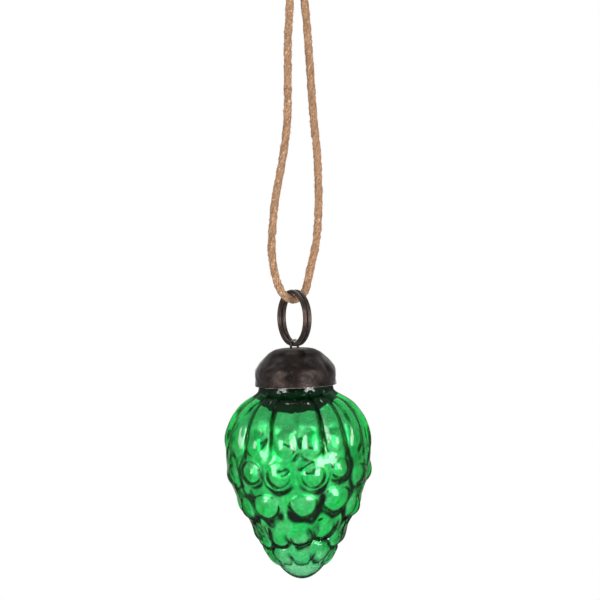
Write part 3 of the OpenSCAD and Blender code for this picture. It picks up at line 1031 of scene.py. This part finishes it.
def normal_in(t, wall):
    """Outline moved in along its normal, less where the blown glass thins to its tip: radius and drop."""
    wall = wall - THIN * ease((t - 0.74) / 0.2)
    step = 0.004
    slope = (outline(t + step) - outline(t - step)) / (2 * step * GLASS_LEN)
    q = np.sqrt(1 + slope * slope)
    return outline(t) - wall / q, GLASS_TOP + t * GLASS_LEN + wall * slope / q


def ring_points(r, drop):
    """One ring of points round the glass."""
    a = np.radians(ROUND + TURN)
    return np.stack([r * np.cos(a), r * np.sin(a), -np.broadcast_to(drop, a.shape)], axis=-1)


def inner_ring(t, wall):
    """Ring at a share of the length, a wall's thickness inside the glass."""
    r, drop = normal_in(t, wall)
    return ring_points(np.maximum(r, 0.05) + inner(ROUND, t), drop)


def tip_shares(count):
    """Shares of the length from near the tip's pole up to the flank."""
    return 1 - TIP * np.linspace(0, 1, count)[1:] ** 2


def glass_mesh():
    """Glass from the tip up the outside, over the lip and down the inside."""
    rings = []
    for t in [*tip_shares(25), *np.linspace(1 - TIP, 0, 171)[1:]]:
        rings.append(ring_points(outline(t) + outer(ROUND, t), GLASS_TOP + t * GLASS_LEN))
    for drop in np.linspace(GLASS_TOP - 0.8, LIP + MOUTH, 6):
        rings.append(ring_points(NECK_R, drop))
    for a in np.radians(np.arange(18, 181, 18)):
        rings.append(ring_points(BORE_R + MOUTH * (1 + math.cos(a)), LIP + MOUTH * (1 - math.sin(a))))
    for drop in np.linspace(LIP + MOUTH, GLASS_TOP - 0.6, 5)[1:]:
        rings.append(ring_points(BORE_R, drop))
    for t in [*np.linspace(0.02, 1 - TIP, 70), *tip_shares(10)[-2::-1]]:
        rings.append(inner_ring(t, WALL))
    tip = -GLASS_TOP - GLASS_LEN
    verts, faces = skin(rings, [0, 0, tip], [0, 0, tip + WALL - THIN])
    return hung(verts), faces


def lining_mesh():
    """Mirror coat on the inside of the glass: a thin closed shell. Above a ragged line it is tarnish, painted
    black as the shade inside the neck.
    """
    edge = 0.072 + 0.028 * np.cos(np.radians(2 * ROUND))
    edge = edge + 0.006 * ripple(ROUND, 6, (120, 72, 36)) + 0.004 * ripple(ROUND, 7, (12, 8))
    edge = edge + 0.06 * share(1 - scales(ROUND, 0.1) / 1.1) ** 1.2
    bright = [*tip_shares(10), *(edge + (1 - TIP - edge) * q for q in np.linspace(1, 0, 110)[1:])]
    painted_dark = [0.03 + (edge - 0.03) * q for q in np.linspace(1, 0, 9)[1:]]
    neck = np.linspace(GLASS_TOP - 0.6, LIP + 3, 5)
    sheets = []
    for wall in (WALL - COAT_OUT, WALL + COAT_IN):
        rings = [inner_ring(t, wall) for t in bright + painted_dark]
        rings += [ring_points(BORE_R + WALL - wall, drop) for drop in neck]
        sheets.append(rings)
    tip = WALL - THIN - GLASS_TOP - GLASS_LEN
    verts, faces = skin(sheets[0] + sheets[1][::-1], [0, 0, tip - COAT_OUT], [0, 0, tip + COAT_IN])

    # The outer sheet is silver up to the ragged line and tarnish painted black as shade above it, and the
    # inner one is the backing, near black as painted shade
    silver, outside = GLASS_SIDES * len(bright), GLASS_SIDES * len(sheets[0])
    kinds = [0 if i < silver else 2 if i < outside else 1 for i in range(len(faces))]
    shade = np.zeros(len(verts))
    shade[0] = POLE_SHADE
    shade[1:1 + silver] = np.concatenate([coat(ROUND, t) for t in bright])
    return (hung(verts), faces), kinds, shade


mesh_piece("glass_shell", *glass_mesh(), "glass", "glass", [glass_material()], ["glass_body"])
COAT = [silver_material(), backing_and_shade_material(), tarnish_and_shade_material()]
coat_sheets, coat_kinds, coat_shade = lining_mesh()
lining = mesh_piece("glass_lining", *coat_sheets, "glass", "glass", COAT, shade=coat_shade)
lining.data.polygons.foreach_set("material_index", coat_kinds)


# Light
AIM = Vector((0, 0, -0.15))  # all softboxes face this point


def softbox(name, azimuth, elevation, distance, size, power, deep=True):
    """Area light; one that isn't deep shows on the surface of the glass and not in the mirror behind it."""
    data = bpy.data.lights.new(name, "AREA")
    data.shape = "RECTANGLE"
    data.size, data.size_y = size
    data.energy = power
    obj = add_object(name, data)
    way = direction(azimuth, elevation)
    obj.location = AIM + way * distance
    look_back(obj, way)
    obj.visible_transmission = deep
    return obj


softbox("key", 42, 6, 1.2, (0.55, 0.65), 11, deep=False)
softbox("key_wide", 42, 8, 1.25, (0.8, 0.9), 3)
softbox("fill", -42, 6, 1.2, (0.5, 0.65), 8, deep=False)
softbox("fill_wide", -42, 8, 1.25, (0.8, 0.9), 2.5)
softbox("top", 180, 66, 1.2, (0.5, 0.4), 4)
softbox("back", 180, 12, 1.25, (0.8, 0.9), 7, deep=False).visible_glossy = False


# Floor
FLOOR_R, FLOOR_Z = 0.66, -0.3
FADE_FROM, FADE_TO = 0.42, 0.62


def stage_floor():
    """Pale round floor under the hanging part; its rim fades into the white surroundings."""
    m = Material("floor")
    m.set(Base_Color=m.mix(m.noise(3, 2), (0.8, 0.8, 0.8), (0.83, 0.83, 0.83)), Roughness=0.9)
    away = m.node("ShaderNodeVectorMath", {0: m.place()}, operation="LENGTH").outputs["Value"]
    clear = m.node("ShaderNodeBsdfTransparent").outputs[0]
    fade = {0: m.ramp(away, FADE_FROM, FADE_TO), 1: m.shader.outputs[0], 2: clear}
    m.put(m.output.inputs["Surface"], m.node("ShaderNodeMixShader", fade).outputs[0])
    edge = [(FLOOR_R * math.cos(a), FLOOR_R * math.sin(a), 0) for a in turns(96)]
    mesh = bpy.data.meshes.new("floor")
    mesh.from_pydata(edge, [], [tuple(range(len(edge)))])
    mesh.materials.append(m.data)
    o = add_object("floor", mesh)
    o.location = (0, 0, FLOOR_Z)
    o.visible_glossy = o.visible_transmission = False


# Surroundings
PLAIN = 0.5  # strength of the plain world that lights diffuse surfaces
SURFACE_LOSS = 0.75  # what the studio loses in a reflection off an outer surface
CARD_UP = 0.09  # sine of the elevation of the dark card's middle


def studio_level(w):
    """Strength of the studio in each direction: white walls, dark flags and a dark card in front."""
    where = w.node("ShaderNodeTexCoord").outputs["Generated"]

    def along(way):
        return w.node("ShaderNodeVectorMath", {0: where, 1: way}, operation="DOT_PRODUCT").outputs["Value"]

    def step(value, low, high, a, b):
        return w.ramp(value, low, high, a, b, "SMOOTHSTEP")

    front, side, up = along(direction(0, 0)), along(direction(90, 0)), along((0, 0, 1))
    walls = w.plus(step(front, -0.92, -0.85, 1, 0.08), step(front, -0.8, -0.65, 0, 0.55))
    walls = w.plus(walls, step(front, -0.1, 0.35, 0, 0.37))
    flags = w.plus(step(front, -0.95, -0.88, 1, 0.06), step(front, -0.78, -0.55, 0, 0.94))
    lids = w.times(step(up, -0.2, 0.4, 0.95, 0.5), step(up, -0.99, -0.85, 0.95, 1))  # ceiling and ground
    lids = w.times(lids, flags)
    upright = step(w.times(up, up), 0.1, 0.45, 1, 0)
    level = w.plus(w.times(walls, upright), w.times(lids, w.less(1, upright)))
    high_back = w.times(step(up, 0.14, 0.32, 0, 0.9), step(front, -0.75, -0.35, 1, 0))
    level = w.maths("MAXIMUM", level, high_back)
    above = w.less(up, CARD_UP)
    card = w.times(step(above, 0.08, 0.14, 1, 0), step(above, -0.14, -0.08, 0, 1))
    card = w.times(card, w.times(step(side, -0.5, -0.4, 0, 1), step(side, 0.4, 0.5, 1, 0)))
    card = w.times(card, step(front, 0.2, 0.5, 0, 1))
    return w.times(level, w.less(1, w.times(card, 0.95)))


def stage_world():
    """White for the camera, the studio for mirror and glass rays, and a plain dimmer white for the rest."""
    world = bpy.data.worlds.new("studio")
    SCENE.world = world
    world.use_nodes = True
    world.node_tree.nodes.clear()
    w = Nodes(world.node_tree)
    ray = w.node("ShaderNodeLightPath").outputs
    glossy, through = ray["Is Glossy Ray"], ray["Is Transmission Ray"]

    def background(strength):
        return w.node("ShaderNodeBackground", {"Color": WHITE, "Strength": strength}).outputs[0]

    def choose(factor, a, b):
        return w.node("ShaderNodeMixShader", {0: factor, 1: a, 2: b}).outputs[0]

    off_surface = w.maths("MAXIMUM", w.less(glossy, through), 0)
    studio = w.times(studio_level(w), w.less(1, w.times(off_surface, SURFACE_LOSS)))
    seen = choose(w.maths("MAXIMUM", glossy, through), background(PLAIN), background(studio))
    w.node("ShaderNodeOutputWorld", {"Surface": choose(ray["Is Camera Ray"], seen, background(1))})


stage_floor()
stage_world()

bpy.context.view_layer.update()
